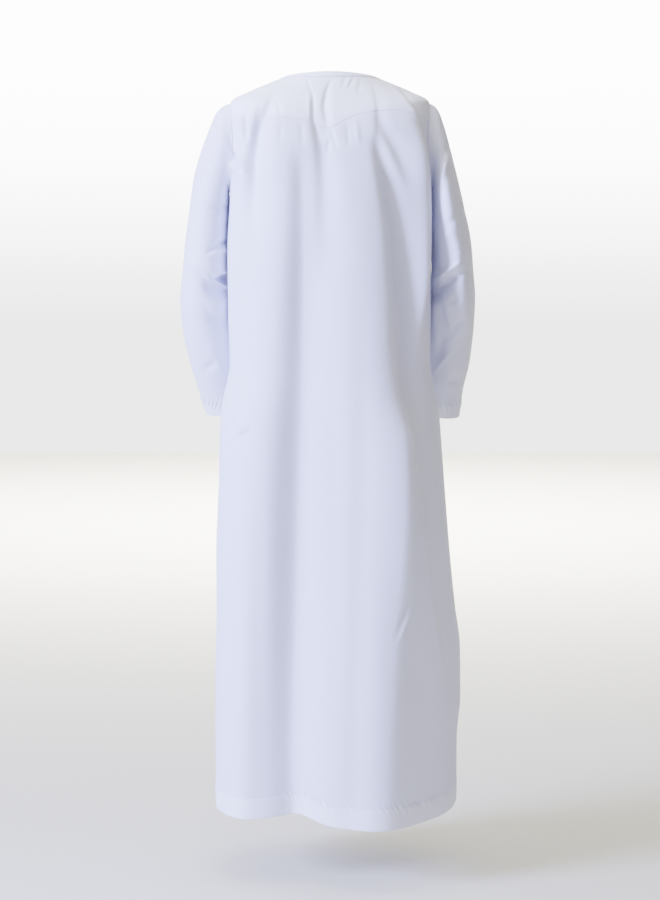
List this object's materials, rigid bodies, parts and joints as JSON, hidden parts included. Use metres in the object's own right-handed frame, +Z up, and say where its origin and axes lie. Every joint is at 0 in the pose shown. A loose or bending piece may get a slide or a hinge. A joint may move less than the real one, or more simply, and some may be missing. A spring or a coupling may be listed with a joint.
{
  "type": "thobe robe",
  "caption": "White ankle-length collarless thobe robe in its worn standing form, with long sleeves, a pointed back yoke and side pockets.",
  "frame": {"origin": "middle of the neck opening, level with the neck edge at the centre of the back, where the robe rests on its wearer", "axes": "+Z up; the front faces -Y; +X is the wearer's left"},
  "size_m": [0.5565, 0.4147, 1.3776],
  "materials": {
    "cloth": "smooth matt plain weave, thin and slightly translucent",
    "buttons": "glossy white"
  },
  "bodies": {
    "root": {"neck_binding": "cloth", "yoke": "cloth", "back_panel": "cloth", "front_panel": "cloth", "sleeve_left": "cloth", "sleeve_right": "cloth", "over_placket": "cloth", "under_placket": "cloth", "pocket_bag_left": "cloth", "pocket_bag_right": "cloth", "button_1": "buttons", "button_2": "buttons", "button_3": "buttons"}
  },
  "joints": []
}
